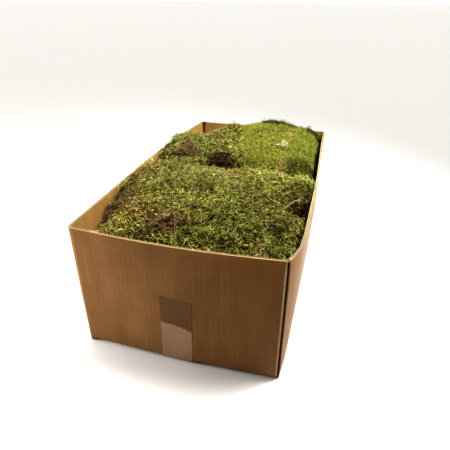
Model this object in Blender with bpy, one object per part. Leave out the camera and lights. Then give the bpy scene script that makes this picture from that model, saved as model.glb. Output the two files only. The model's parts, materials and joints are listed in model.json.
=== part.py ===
# Sheet moss packed in an open corrugated carton.
# Metres, +Z up. The long side runs along Y and the taped front panel faces -Y.
# Everything is modelled round the carton's own middle, and the last step moves the
# origin to the middle of the whole thing's footprint, on the surface it stands on.

import math

import bmesh
import bpy
from mathutils import Vector, noise
from mathutils.bvhtree import BVHTree

# Carton, outside sizes
LENGTH = 0.600
WIDTH = 0.300
HEIGHT = 0.202
BOARD = 0.004              # single-wall board
FOLD = 0.0046              # outer radius of the folds at the foot
CORNER_FOOT = 0.0015       # how low the upright corners reach
CLEAR = 0.0003             # gap between pieces that touch
HALF_LENGTH = LENGTH / 2
HALF_WIDTH = WIDTH / 2

# How far the packed moss pushes each panel out, at the rim and at the foot
FRONT_BULGE = (0.0086, 0.0044)
LEFT_BULGE = (0.0125, 0.0060)
BACK_BULGE = (0.0020, 0.0010)
RIGHT_BULGE = (0.0093, 0.0036)
BELLY = 0.003              # extra at mid height on the two long panels
LEFT_FLARE = 0.0065        # the rim leans out along the whole left panel
RIGHT_FLARE = 0.0040
SWELL_START = 0.027        # the glued corner keeps its shape, and the right panel swells
FLARE_START = 0.020        # and leans out over about this far from it

# Bottom flaps
MINOR_FLAP = 0.150         # length of the short pair, folded in first
SEAM_GAP = 0.0010
SEAM_RISE = 0.0008         # the flaps' free edges stand this much off the floor under the tape
SEAM_BAND = 0.035          # half width of the stretch that rises
MINOR_LIFT = SEAM_RISE + BOARD + CLEAR
FLAP_END = 0.0045          # the long flaps stop this much short of the end panels' faces
FRONT_FLAP_START = 0.015   # share of the front panel between its raw edge and its flap
END_LEAN = 0.001           # the rim leans out on the two end panels

# Glue tab at the front right corner
SLIT = 0.0020              # between the front panel's raw edge and the right panel's face
CUT_EDGE_FOOT = 0.0072     # how low that raw edge reaches
TAB_LENGTH = 0.034
TAB_TAPER = 0.25           # how fast its ends slope
TAB_FOOT = 0.013

# Packing tape
TAPE_WIDTH = 0.0465
TAPE_THICKNESS = 0.0004
TAPE_TOP_FRONT = 0.1172
TAPE_TOP_BACK = 0.112
TAPE_SLANT = 0.09          # the torn top edge drops to the right by this share of its width
TAPE_LEAN = 0.014          # on the front panel it runs off to the right by this share of its height

# Moss
MOSS_GAP = 0.0020          # between moss and board
MAT_GAP = 0.0026           # between one mat and the next
CORNER_INSET = 0.0030      # the mats' corners are rounded off by this much
CELL = 0.0135              # size of a facet on top
MOSS_FLOOR = MINOR_LIFT + BOARD + CLEAR
MOSS_FLOOR_MIDDLE = SEAM_RISE + BOARD + CLEAR
MIDDLE_REACH = 0.120       # the moss sags between the short flaps up to here
TUFT_COARSE = (0.0040, 0.042)   # height and spacing of the tufts
TUFT_FINE = (0.0022, 0.019)
CAVITY_X = -0.026          # middle and half width of the cavity between front and back mats
CAVITY_REACH = 0.031
CAVITY_DEPTH = 0.038       # how far it runs in under the back mats, at the rim and at the foot
CAVITY_FOOT = 0.008
CAVITY_GAP = 0.18          # share of that by which the front mat stops short


def clear_scene():
    for item in list(bpy.data.objects):
        bpy.data.objects.remove(item, do_unlink=True)


def material(name, colour, roughness):
    made = bpy.data.materials.new(name)
    made.use_nodes = True
    shader = made.node_tree.nodes["Principled BSDF"]
    shader.inputs["Base Color"].default_value = (*colour, 1.0)
    shader.inputs["Roughness"].default_value = roughness
    shader.inputs["Metallic"].default_value = 0.0
    return made


def add_object(name, mesh_builder, made_of):
    mesh = bpy.data.meshes.new(name)
    mesh_builder.normal_update()
    mesh_builder.to_mesh(mesh)
    mesh_builder.free()
    item = bpy.data.objects.new(name, mesh)
    bpy.context.collection.objects.link(item)
    mesh.materials.append(made_of)
    return item


def lerp(a, b, t):
    return a + (b - a) * t


def smooth(low, high, value):
    t = min(1.0, max(0.0, (value - low) / (high - low)))
    return t * t * (3 - 2 * t)


def arch(u):
    return max(0.0, 1 - (2 * u - 1) ** 2)


# ---------------------------------------------------------------- wall panels
# Each panel's outer face is a flat base line that leans a little, plus a bulge.
# share is how far along the panel, from 0 at one corner to 1 at the other.

def front_shape(share):
    return arch(share) ** 1.3


def left_shape(share):
    return arch(share ** 1.36)


def right_shape(share):
    from_front = share * LENGTH
    from_back = LENGTH - from_front
    swell = past_joint(from_front, SWELL_START) * (1 - math.exp(-from_back / 0.015))
    return swell * (1 - 0.85 * smooth(0.240, 0.560, from_front))


def past_joint(from_front, reach):
    return 1 - math.exp(-((from_front / reach) ** 1.5))


def front_y(x, z):
    rise = z / HEIGHT
    share = min(1.0, max(0.0, (x + HALF_WIDTH) / WIDTH))
    base = -HALF_LENGTH - END_LEAN * rise
    return base - lerp(FRONT_BULGE[1], FRONT_BULGE[0], rise) * front_shape(share)


def back_y(x, z):
    rise = z / HEIGHT
    share = min(1.0, max(0.0, (x + HALF_WIDTH) / WIDTH))
    base = HALF_LENGTH + END_LEAN * rise
    return base + lerp(BACK_BULGE[1], BACK_BULGE[0], rise) * arch(share)


def left_x(y, z):
    rise = z / HEIGHT
    share = min(1.0, max(0.0, (y + HALF_LENGTH) / LENGTH))
    base = -HALF_WIDTH - LEFT_FLARE * rise
    out = lerp(LEFT_BULGE[1], LEFT_BULGE[0], rise) * left_shape(share)
    return base - out - BELLY * arch(rise) * arch(share)


def right_x(y, z):
    rise = z / HEIGHT
    share = min(1.0, max(0.0, (y + HALF_LENGTH) / LENGTH))
    base = HALF_WIDTH + RIGHT_FLARE * rise * past_joint(share * LENGTH, FLARE_START)
    out = lerp(RIGHT_BULGE[1], RIGHT_BULGE[0], rise) * right_shape(share)
    return base + out + BELLY * arch(rise) * arch(share)


def even_steps(count):
    # Closer together near the corners, where the board bends most.
    return [0.5 - 0.5 * math.cos(math.pi * i / count) for i in range(count + 1)]


class Station:
    # One upright line of the folded sheet: where its outer face is at any height.
    def __init__(self, place, foot, head=HEIGHT, flap=None):
        self.place = place
        self.foot = foot
        self.head = head
        self.flap = flap

    def point(self, z):
        x, y = self.place(z)
        return Vector((x, y, z))


def corner_radius(z):
    return lerp(0.006, 0.009, z / HEIGHT)


def corner_stations(corner, before, after, steps=4):
    # A fold between two panels, as a curve from the end of one to the start of the next.
    made = []
    for i in range(1, steps):
        t = i / steps

        def place(z, t=t):
            c, a, b = corner(z), before(z), after(z)
            return [(1 - t) ** 2 * a[k] + 2 * t * (1 - t) * c[k] + t * t * b[k] for k in (0, 1)]

        made.append(Station(place, CORNER_FOOT))
    return made


def sheet_stations():
    # Along the front from its cut edge, then left, back and right, and into the tab.
    long_foot = FOLD
    end_foot = MINOR_LIFT + FOLD
    stations = []

    def span(z):
        # The four corners' x and y at this height, where the panels' base lines meet.
        rise = z / HEIGHT
        west = -HALF_WIDTH - LEFT_FLARE * rise
        east = HALF_WIDTH + RIGHT_FLARE * rise
        south = -HALF_LENGTH - END_LEAN * rise
        north = HALF_LENGTH + END_LEAN * rise
        return west, east, south, north

    def front_at(share):
        def place(z):
            west = span(z)[0]
            x = lerp(tab_corner(z)[0] - SLIT, west + corner_radius(z), share)
            return x, front_y(x, z)
        return place

    def left_at(share):
        def place(z):
            south, north = span(z)[2:]
            y = lerp(south + corner_radius(z), north - corner_radius(z), share)
            return left_x(y, z), y
        return place

    def back_at(share):
        def place(z):
            west, east = span(z)[:2]
            x = lerp(west + corner_radius(z), east - corner_radius(z), share)
            return x, back_y(x, z)
        return place

    def right_at(share):
        def place(z):
            north = span(z)[3]
            south = tab_y(HALF_WIDTH, z)
            y = lerp(north - corner_radius(z), south + FOLD, share)
            return right_x(y, z), y
        return place

    def tab_at(share):
        def place(z):
            east = tab_corner(z)[0]
            x = lerp(east - FOLD, east - TAB_LENGTH, share)
            return x, tab_y(x, z)
        return place

    def tab_y(x, z):
        return front_y(x, z) + BOARD + CLEAR

    def tab_corner(z):
        y = tab_y(HALF_WIDTH, z)
        return right_x(y, z), y

    stations.append(Station(front_at(0.0), CUT_EDGE_FOOT))
    for share in even_steps(12):
        inset = lerp(FRONT_FLAP_START, 1.0, share)
        stations.append(Station(front_at(inset), end_foot, flap="front"))
    stations += corner_stations(
        lambda z: (span(z)[0], span(z)[2]), front_at(1), left_at(0)
    )
    for share in even_steps(14):
        stations.append(Station(left_at(share), long_foot, flap="left"))
    stations += corner_stations(
        lambda z: (span(z)[0], span(z)[3]), left_at(1), back_at(0)
    )
    for share in even_steps(8):
        stations.append(Station(back_at(share), end_foot, flap="back"))
    stations += corner_stations(
        lambda z: (span(z)[1], span(z)[3]), back_at(1), right_at(0)
    )
    for share in even_steps(14):
        stations.append(Station(right_at(share), long_foot, flap="right"))
    stations.append(Station(tab_corner, CORNER_FOOT))
    for share in (0.0, 0.5, 1.0):
        drop = TAB_TAPER * TAB_LENGTH * share
        stations.append(Station(tab_at(share), TAB_FOOT + drop, HEIGHT - 0.001 - drop))
    return stations


INWARD = {
    "front": Vector((0, 1, 0)),
    "back": Vector((0, -1, 0)),
    "left": Vector((1, 0, 0)),
    "right": Vector((-1, 0, 0)),
}


def flap_rows(station, first, last):
    # The outer face of a bottom flap below one station: round the fold, then flat.
    foot = station.point(station.foot)
    inward = INWARD[station.flap]
    rows = []
    for degrees in (30, 60, 90):
        turn = math.radians(degrees)
        drop = Vector((0, 0, -FOLD * math.sin(turn)))
        rows.append(foot + inward * FOLD * (1 - math.cos(turn)) + drop)
    end = rows[-1]
    if station.flap in ("front", "back"):
        side = math.copysign(1.0, end.y)
        inner = HALF_LENGTH - MINOR_FLAP
        rows.append(Vector((end.x, side * inner, end.z)))
        return rows
    side = math.copysign(1.0, end.x)
    y = end.y
    if first or last:
        y = math.copysign(HALF_LENGTH - FLAP_END, end.y)
    for x, z in ((SEAM_BAND, 0.0), (SEAM_BAND * 0.8, SEAM_RISE), (SEAM_GAP / 2, SEAM_RISE)):
        rows.append(Vector((side * x, y, z)))
    return rows


def make_carton(board):
    work = bmesh.new()
    stations = sheet_stations()
    levels = (0.0, 0.33, 0.67, 1.0)
    walls = []
    for station in stations:
        heights = [lerp(station.foot, station.head, level) for level in levels]
        walls.append([work.verts.new(station.point(z)) for z in heights])
    for here, there in zip(walls, walls[1:]):
        for low, high in zip(range(len(levels) - 1), range(1, len(levels))):
            work.faces.new((here[low], here[high], there[high], there[low]))

    previous = None
    for index, station in enumerate(stations):
        if station.flap is None:
            previous = None
            continue
        first = previous is None
        last = index + 1 == len(stations) or stations[index + 1].flap != station.flap
        column = [walls[index][0]]
        column += [work.verts.new(point) for point in flap_rows(station, first, last)]
        if previous is not None:
            for upper, lower in zip(range(len(column) - 1), range(1, len(column))):
                work.faces.new((previous[lower], previous[upper], column[upper], column[lower]))
        previous = None if last else column

    carton = add_object("carton", work, board)
    wall = carton.modifiers.new("board thickness", "SOLIDIFY")
    wall.thickness = BOARD
    wall.offset = -1.0
    wall.use_even_offset = True
    wall.use_rim = True
    return carton


def make_tape(plastic):
    # One strip: down the front panel, under the seam and up the back panel.
    columns = 4
    xs = [lerp(-TAPE_WIDTH / 2, TAPE_WIDTH / 2, i / columns) for i in range(columns + 1)]
    end_foot = MINOR_LIFT + FOLD
    under = SEAM_RISE - CLEAR
    ends = (
        (-1.0, front_y, TAPE_TOP_FRONT, TAPE_SLANT, TAPE_LEAN),
        (1.0, back_y, TAPE_TOP_BACK, 0.0, 0.0),
    )

    def upright(x, side, face, top, slant, lean):
        # From the top edge down one end panel and round its foot.
        head = top - slant * x
        points = []
        for t in (0.0, 0.35, 0.7, 1.0):
            z = lerp(head, end_foot, t)
            across = x + lean * z
            points.append(Vector((across, face(across, z) + side * CLEAR, z)))
        out = face(0.0, end_foot) + side * CLEAR
        flap_end = side * (HALF_LENGTH - FLAP_END)
        for t, z in ((0.08, 0.0055), (0.45, 0.0018)):
            points.append(Vector((x, lerp(out, flap_end, t), z)))
        points.append(Vector((x, flap_end + side * 0.0008, under)))
        return points

    work = bmesh.new()
    grid = []
    for x in xs:
        front = upright(x, *ends[0])
        back = upright(x, *ends[1])
        seam = [Vector((x, y, under)) for y in (-0.15, 0.0, 0.15)]
        grid.append([work.verts.new(point) for point in front + seam + back[::-1]])
    for here, there in zip(grid, grid[1:]):
        for a, b in zip(range(len(here) - 1), range(1, len(here))):
            work.faces.new((here[a], here[b], there[b], there[a]))
    tape = add_object("packing_tape", work, plastic)
    film = tape.modifiers.new("film", "SOLIDIFY")
    film.thickness = TAPE_THICKNESS
    film.offset = 1.0
    film.use_even_offset = True
    return tape


# ---------------------------------------------------------------- moss
# A swell is (x, y, reach along x, reach along y, height). Hollows have a negative height.

def swells(x, y, listed):
    total = 0.0
    for at_x, at_y, reach_x, reach_y, height in listed:
        far = ((x - at_x) / reach_x) ** 2 + ((y - at_y) / reach_y) ** 2
        total += height * math.exp(-far)
    return total


def tufts(x, y):
    total = 0.0
    for height, spacing in (TUFT_COARSE, TUFT_FINE):
        total += height * noise.noise(Vector((x / spacing, y / spacing, 3.7)))
    return total


def mats_meet_y(x, z, share=1.0):
    # The line where the front mat stops, with the cavity that the back mats' lips hang over.
    depth = lerp(CAVITY_FOOT, CAVITY_DEPTH, min(1.0, z / HEIGHT))
    cavity = depth * share * math.exp(-(((x - CAVITY_X) / CAVITY_REACH) ** 2))
    return 0.006 + cavity + 0.004 * math.sin(x / 0.035)


def mats_meet_x(y):
    # The line between the back left mat and the cushion.
    return lerp(0.010, -0.046, smooth(0.0, 0.240, y)) + 0.003 * math.sin(y / 0.024)


def west_wall(y, z):
    return left_x(y, z) + BOARD + MOSS_GAP


def east_wall(y, z):
    return right_x(y, z) - BOARD - MOSS_GAP


def south_wall(x, z):
    tab = (BOARD + 2 * CLEAR) * smooth(0.100, 0.112, x)
    return front_y(x, z) + BOARD + MOSS_GAP + tab


def north_wall(x, z):
    return back_y(x, z) - BOARD - MOSS_GAP


MATS = {
    "front_mat": {
        "over_rim": 0.003,
        "west": west_wall,
        "east": east_wall,
        "south": south_wall,
        "north": lambda x, z: mats_meet_y(x, z, 1 - CAVITY_GAP) - MAT_GAP / 2,
        "edge_drop": {"south": (0.012, 0.026), "north": (0.007, 0.012), "east": (0.006, 0.012)},
        "spill": {},
        "swells": (
            (-0.158, -0.250, 0.042, 0.070, -0.039),   # low front left corner
            (0.000, -0.150, 0.100, 0.090, 0.010),     # broad middle
            (-0.090, -0.080, 0.060, 0.050, 0.004),
            (0.134, -0.060, 0.036, 0.032, 0.014),     # bright ridge by the right wall
            (0.150, -0.136, 0.021, 0.030, -0.042),    # dark hollow by the right wall
            (0.125, -0.255, 0.050, 0.045, -0.008),
            (-0.024, 0.028, 0.030, 0.031, -0.050),    # cavity under the back mats' lips
        ),
    },
    "back_left_mat": {
        "over_rim": 0.002,
        "west": west_wall,
        "east": lambda y, z: mats_meet_x(y) - MAT_GAP / 2,
        "south": lambda x, z: mats_meet_y(x, z) + MAT_GAP / 2,
        "north": north_wall,
        "edge_drop": {"south": (0.006, 0.010), "east": (0.008, 0.012)},
        "spill": {"west": (0.124, 0.066, 0.0065)},
        "swells": (
            (-0.138, 0.120, 0.050, 0.060, 0.010),     # mound over the left rim
            (-0.158, 0.299, 0.049, 0.060, -0.048),    # low back left corner
            (-0.112, 0.042, 0.018, 0.014, -0.014),    # notch towards the left wall
            (-0.056, 0.288, 0.034, 0.030, 0.005),     # up to the rim beside the cushion
            (-0.026, 0.074, 0.032, 0.026, 0.009),     # lip over the cavity
        ),
    },
    "back_right_cushion": {
        "over_rim": 0.002,
        "west": lambda y, z: mats_meet_x(y) + MAT_GAP / 2,
        "east": east_wall,
        "south": lambda x, z: mats_meet_y(x, z) + MAT_GAP / 2,
        "north": north_wall,
        "edge_drop": {"south": (0.018, 0.013), "east": (0.030, 0.011), "west": (0.008, 0.012)},
        "spill": {"north": (0.035, 0.060, 0.0035)},
        "swells": (
            (0.062, 0.160, 0.110, 0.120, 0.016),      # the dome
            (0.034, 0.242, 0.054, 0.062, 0.020),      # its crest against the back wall
            (0.156, 0.299, 0.028, 0.050, -0.010),     # lower in the back right corner
            (0.154, 0.286, 0.014, 0.026, 0.020),      # where it still reaches the right wall
        ),
    },
}


def mat_point(mat, u, v, z):
    # Where a mat's column stands: u runs west to east and v south to north.
    x = lerp(mat["west"](0.0, z), mat["east"](0.0, z), u)
    y = lerp(mat["south"](x, z), mat["north"](x, z), v)
    for _ in range(6):
        x = lerp(mat["west"](y, z), mat["east"](y, z), u)
        y = lerp(mat["south"](x, z), mat["north"](x, z), v)
    if u in (0.0, 1.0) and v in (0.0, 1.0):
        x += math.copysign(CORNER_INSET, 0.5 - u)
        y += math.copysign(CORNER_INSET, 0.5 - v)
    return x, y


def mat_height(mat, x, y):
    height = HEIGHT + mat["over_rim"] + swells(x, y, mat["swells"]) + tufts(x, y)
    distance = {
        "west": x - mat["west"](y, HEIGHT),
        "east": mat["east"](y, HEIGHT) - x,
        "south": y - mat["south"](x, HEIGHT),
        "north": mat["north"](x, HEIGHT) - y,
    }
    for side, (drop, reach) in mat["edge_drop"].items():
        height -= drop * math.exp(-max(0.0, distance[side]) / reach)
    return height


def spill_at(mat, side, x, y):
    # How far the moss hangs out over the rim on this side, at most by the listed reach.
    if side not in mat["spill"]:
        return 0.0
    middle, reach, most = mat["spill"][side]
    along = y if side in ("west", "east") else x
    return most * math.exp(-(((along - middle) / reach) ** 4))


OUTWARD = {
    "west": Vector((-1, 0, 0)),
    "east": Vector((1, 0, 0)),
    "south": Vector((0, -1, 0)),
    "north": Vector((0, 1, 0)),
}


def make_mat(name, mat, moss):
    width = mat["east"](0.15, HEIGHT) - mat["west"](0.15, HEIGHT)
    depth = mat["north"](0.1, HEIGHT) - mat["south"](0.1, HEIGHT)
    columns = round(width / CELL)
    rows = round(depth / CELL)
    work = bmesh.new()
    top = {}
    for i in range(columns + 1):
        for j in range(rows + 1):
            x, y = mat_point(mat, i / columns, j / rows, HEIGHT)
            top[i, j] = work.verts.new((x, y, mat_height(mat, x, y)))
    for i in range(columns):
        for j in range(rows):
            work.faces.new((top[i, j], top[i + 1, j], top[i + 1, j + 1], top[i, j + 1]))

    ring = [(i, 0, "south") for i in range(columns)]
    ring += [(columns, j, "east") for j in range(rows)]
    ring += [(i, rows, "north") for i in range(columns, 0, -1)]
    ring += [(0, j, "west") for j in range(rows, 0, -1)]
    over_rim = HEIGHT + 2 * CLEAR
    shoulders = [min(top[i, j].co.z - 0.004, over_rim) for i, j, side in ring]
    sides = []
    for k, (i, j, side) in enumerate(ring):
        u, v = i / columns, j / rows
        tip = top[i, j]
        shoulder = shoulders[k]
        around = (shoulders[k - 1], shoulder, shoulders[(k + 1) % len(ring)])
        out = Vector((0, 0, 0))
        if min(around) == over_rim:
            out = OUTWARD[side] * spill_at(mat, side, tip.co.x, tip.co.y)
        x, y = mat_point(mat, u, v, shoulder)
        neck = work.verts.new((x, y, shoulder - CLEAR / 2))
        lip = work.verts.new(Vector((x, y, shoulder + CLEAR / 2)) + out)
        tip.co += out * 0.6
        x, y = mat_point(mat, u, v, shoulder / 2)
        middle = work.verts.new((x, y, shoulder / 2))
        x, y = mat_point(mat, u, v, MOSS_FLOOR)
        floor = MOSS_FLOOR_MIDDLE if abs(y) < MIDDLE_REACH else MOSS_FLOOR
        foot = work.verts.new((x, y, floor))
        sides.append((tip, lip, neck, middle, foot))
    for here, there in zip(sides, sides[1:] + sides[:1]):
        for a, b in zip(range(4), range(1, 5)):
            work.faces.new((here[a], here[b], there[b], there[a]))

    make_underside(work, [column[-1] for column in sides], columns, rows)
    bmesh.ops.recalc_face_normals(work, faces=work.faces)
    return add_object(name, work, moss)


def make_underside(work, feet, columns, rows):
    # Strips across the mat from west to east, so that the step between the flaps stays clean.
    east = feet[columns:columns + rows + 1]
    west = [feet[0]] + feet[:-rows - 1:-1]
    south = feet[:columns + 1]
    north = [feet[(2 * columns + rows - i) % len(feet)] for i in range(columns + 1)]
    work.faces.new(south + [east[1], west[1]])
    for j in range(1, rows - 1):
        work.faces.new((west[j], east[j], east[j + 1], west[j + 1]))
    work.faces.new([west[rows - 1], east[rows - 1]] + north[::-1])


# ---------------------------------------------------------------- litter

def make_bark_chip(bark):
    work = bmesh.new()
    bmesh.ops.create_icosphere(work, subdivisions=2, radius=1.0)
    for vert in work.verts:
        p = vert.co
        knobs = 1 + 0.35 * noise.noise(p * 1.7 + Vector((5, 1, 2)))
        vert.co = Vector((p.x * 0.0105, p.y * 0.0070, p.z * 0.0055)) * knobs
    return add_object("bark_chip", work, bark)


def make_leaf_scrap(leaf):
    # A crumpled patch with torn, rounded outline, a little cupped.
    work = bmesh.new()
    bmesh.ops.create_circle(work, cap_ends=True, radius=1.0, segments=14)
    bmesh.ops.poke(work, faces=work.faces[:])
    bmesh.ops.subdivide_edges(work, edges=work.edges[:], cuts=1, use_grid_fill=True)
    for vert in work.verts:
        p = vert.co
        torn = 1 + 0.30 * noise.noise(Vector((p.x * 1.6, p.y * 1.6, 9.0)))
        curl = 0.0030 * noise.noise(Vector((p.x * 1.9, p.y * 1.9, 4.0))) + 0.0020 * p.length ** 2
        vert.co = Vector((p.x * 0.0150 * torn, p.y * 0.0105 * torn, curl))
    scrap = add_object("leaf_scrap", work, leaf)
    blade = scrap.modifiers.new("blade", "SOLIDIFY")
    blade.thickness = 0.0006
    return scrap


def make_twig(wood):
    curve = bpy.data.curves.new("twig", "CURVE")
    curve.dimensions = "3D"
    curve.bevel_depth = 0.0011
    curve.bevel_resolution = 1
    curve.use_fill_caps = True
    route = ((-0.022, -0.012, 0.0), (-0.010, -0.004, 0.0022), (0.004, 0.003, 0.0024), (0.019, 0.013, 0.0))
    line = curve.splines.new("POLY")
    line.points.add(len(route) - 1)
    for point, place, girth in zip(line.points, route, (1.0, 1.15, 0.9, 0.55)):
        point.co = (*place, 1.0)
        point.radius = girth
    item = bpy.data.objects.new("twig", curve)
    bpy.context.collection.objects.link(item)
    curve.materials.append(wood)
    return item


def evaluated_mesh(item):
    graph = bpy.context.evaluated_depsgraph_get()
    return item.evaluated_get(graph).to_mesh(), item.matrix_world.copy()


def lay_on(item, x, y, turn, bed):
    # Put a loose bit down on the moss: the least gap between them becomes CLEAR.
    item.location = (x, y, 0.5)
    item.rotation_euler = (0, 0, turn)
    bpy.context.view_layer.update()
    bed_mesh, bed_place = evaluated_mesh(bed)
    bed_points = [bed_place @ v.co for v in bed_mesh.vertices]
    bed_tree = BVHTree.FromPolygons(bed_points, [p.vertices[:] for p in bed_mesh.polygons])
    mesh, place = evaluated_mesh(item)
    points = [place @ v.co for v in mesh.vertices]
    tree = BVHTree.FromPolygons(points, [p.vertices[:] for p in mesh.polygons])
    down = Vector((0, 0, -1))
    gaps = [bed_tree.ray_cast(point, down)[3] for point in points]
    gaps += [tree.ray_cast(point, -down)[3] for point in bed_points]
    least = min(gap for gap in gaps if gap is not None)
    item.location.z -= least - CLEAR
    bpy.context.view_layer.update()


def centre_on_footprint(items):
    # The origin goes to the middle of the footprint, and z = 0 stays the surface stood on.
    low = Vector((math.inf,) * 3)
    high = Vector((-math.inf,) * 3)
    for item in items:
        mesh, place = evaluated_mesh(item)
        for vert in mesh.vertices:
            point = place @ vert.co
            for k in range(3):
                low[k] = min(low[k], point[k])
                high[k] = max(high[k], point[k])
    middle = (low + high) / 2
    for item in items:
        item.location.x -= middle.x
        item.location.y -= middle.y
    bpy.context.view_layer.update()
    print("middle of the footprint, from the carton's own: %.5f %.5f" % (middle.x, middle.y))
    print("size: %.4f %.4f %.4f" % tuple(high - low))


def build():
    clear_scene()
    board = material("board", (0.43, 0.26, 0.12), 0.85)
    tape_film = material("tape_film", (0.45, 0.34, 0.26), 0.25)
    olive_moss = material("olive_moss", (0.16, 0.17, 0.03), 0.95)
    brown_moss = material("brown_moss", (0.15, 0.13, 0.04), 0.95)
    bright_moss = material("bright_moss", (0.20, 0.24, 0.03), 0.95)
    bark = material("bark", (0.07, 0.045, 0.03), 0.9)
    dry_leaf = material("dry_leaf", (0.50, 0.40, 0.26), 0.8)
    dead_wood = material("dead_wood", (0.36, 0.28, 0.18), 0.85)

    pieces = [make_carton(board), make_tape(tape_film)]
    mosses = {
        "front_mat": olive_moss,
        "back_left_mat": brown_moss,
        "back_right_cushion": bright_moss,
    }
    mats = {name: make_mat(name, MATS[name], mosses[name]) for name in MATS}
    pieces += mats.values()

    chip = make_bark_chip(bark)
    lay_on(chip, -0.029, -0.249, math.radians(20), mats["front_mat"])
    scrap = make_leaf_scrap(dry_leaf)
    lay_on(scrap, 0.076, 0.110, math.radians(-12), mats["back_right_cushion"])
    twig = make_twig(dead_wood)
    lay_on(twig, 0.135, -0.137, math.radians(35), mats["front_mat"])
    pieces += [chip, scrap, twig]
    centre_on_footprint(pieces)


build()
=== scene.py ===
# The looks of the sheet moss in its open carton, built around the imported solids.
# Metres, +Z up. The taped front panel faces -Y and the long side runs along Y.

import json
import math

import bpy
import numpy as np
from mathutils import Matrix, Quaternion, Vector, noise
from mathutils.bvhtree import BVHTree

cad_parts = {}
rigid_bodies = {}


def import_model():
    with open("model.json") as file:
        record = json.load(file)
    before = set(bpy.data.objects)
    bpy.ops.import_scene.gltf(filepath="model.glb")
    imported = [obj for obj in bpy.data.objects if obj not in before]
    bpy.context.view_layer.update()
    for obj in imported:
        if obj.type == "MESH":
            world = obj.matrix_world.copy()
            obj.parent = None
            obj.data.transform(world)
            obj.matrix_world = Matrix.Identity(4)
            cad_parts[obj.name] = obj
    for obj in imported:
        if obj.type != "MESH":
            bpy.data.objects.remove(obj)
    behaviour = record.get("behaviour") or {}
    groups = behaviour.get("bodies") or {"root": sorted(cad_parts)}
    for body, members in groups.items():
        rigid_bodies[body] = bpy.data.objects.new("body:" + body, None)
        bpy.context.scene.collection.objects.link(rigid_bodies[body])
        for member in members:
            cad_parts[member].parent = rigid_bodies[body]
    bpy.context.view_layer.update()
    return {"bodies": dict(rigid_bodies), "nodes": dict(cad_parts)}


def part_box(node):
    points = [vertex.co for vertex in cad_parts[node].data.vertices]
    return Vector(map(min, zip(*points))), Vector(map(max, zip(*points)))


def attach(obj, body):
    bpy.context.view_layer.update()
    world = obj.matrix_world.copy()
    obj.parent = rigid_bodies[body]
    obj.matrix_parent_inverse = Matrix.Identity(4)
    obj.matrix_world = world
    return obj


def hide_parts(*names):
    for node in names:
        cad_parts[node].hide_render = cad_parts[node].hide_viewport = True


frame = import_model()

nodes = frame["nodes"]
print("frame loaded:", sorted(nodes))


def take(piece):
    bpy.ops.object.select_all(action="DESELECT")
    piece.select_set(True)
    bpy.context.view_layer.objects.active = piece


def startEdit(piece, mode="FACE", pick="DESELECT"):
    take(piece)
    bpy.ops.object.mode_set(mode="EDIT")
    bpy.ops.mesh.select_mode(type=mode)
    bpy.ops.mesh.select_all(action=pick)


def startPrimitive(operator, **values):
    # A new primitive by itself, in edit mode with all of it selected.
    bpy.ops.object.select_all(action="DESELECT")
    operator(location=(0, 0, 0), **values)
    bpy.ops.object.mode_set(mode="EDIT")
    bpy.ops.mesh.select_all(action="SELECT")
    return bpy.context.object


def endEdit():
    bpy.ops.object.mode_set(mode="OBJECT")


def pickFaces(piece, rule):
    # Called in edit mode. The faces that the rule names are left selected.
    endEdit()
    for face in piece.data.polygons:
        face.select = bool(rule(face))
    bpy.ops.object.mode_set(mode="EDIT")


def pickPoints(piece, rule):
    # Called in edit mode, with points or edges as what is picked.
    endEdit()
    mesh = piece.data
    chosen = [bool(rule(v.co)) for v in mesh.vertices]
    both = [all(chosen[i] for i in edge.vertices) for edge in mesh.edges]
    mesh.polygons.foreach_set("select", [False] * len(mesh.polygons))
    mesh.edges.foreach_set("select", both)
    mesh.vertices.foreach_set("select", chosen)
    bpy.ops.object.mode_set(mode="EDIT")


def paintFaces(piece, index, rule):
    # Called in edit mode. The faces that the rule names get that material and are left selected.
    pickFaces(piece, rule)
    piece.active_material_index = index
    bpy.ops.object.material_slot_assign()


def applyModifier(piece, kind, **values):
    take(piece)
    modifier = piece.modifiers.new(kind, kind)
    for key, value in values.items():
        setattr(modifier, key, value)
    bpy.ops.object.modifier_apply(modifier=modifier.name)


def soften(piece):
    take(piece)
    bpy.ops.object.shade_smooth_by_angle(angle=math.radians(32))


def linked(name, data):
    piece = bpy.data.objects.new(name, data)
    bpy.context.collection.objects.link(piece)
    return piece


def addLine(curve, places):
    line = curve.splines.new("POLY")
    line.points.add(len(places) - 1)
    for point, place in zip(line.points, places):
        point.co = (*place, 1)
    return line


def joinPieces(pieces, active, name):
    take(active)
    for piece in pieces:
        piece.select_set(True)
    bpy.ops.object.convert(target="MESH")
    bpy.ops.object.join()
    joined = bpy.context.object
    joined.name = name
    bpy.ops.object.transform_apply()
    return joined


def copyNode(nodeName, pieceName):
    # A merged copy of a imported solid, to be worked on as a piece of its own.
    mesh = nodes[nodeName].data.copy()
    mesh.materials.clear()
    piece = linked(pieceName, mesh)
    startEdit(piece, pick="SELECT")
    bpy.ops.mesh.remove_doubles(threshold=0.00001)
    bpy.ops.mesh.tris_convert_to_quads()
    endEdit()
    return piece


def finishPiece(piece, material=None, replaced=None):
    if material:
        piece.data.materials.append(material)
    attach(piece, bodyName)
    if replaced:
        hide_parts(replaced)


def linear(*screen):
    # A colour as read off a screen, 0 to 255, as the shader wants it.
    parts = [part / 255 for part in screen]
    return [part / 12.92 if part <= 0.04045 else ((part + 0.055) / 1.055) ** 2.4 for part in parts]


def smooth(low, high, value):
    t = np.clip((value - low) / (high - low), 0.0, 1.0)
    return t * t * (3 - 2 * t)


def footOf(nodeName):
    low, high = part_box(nodeName)
    return Vector(((low.x + high.x) / 2, (low.y + high.y) / 2, low.z))


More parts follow.
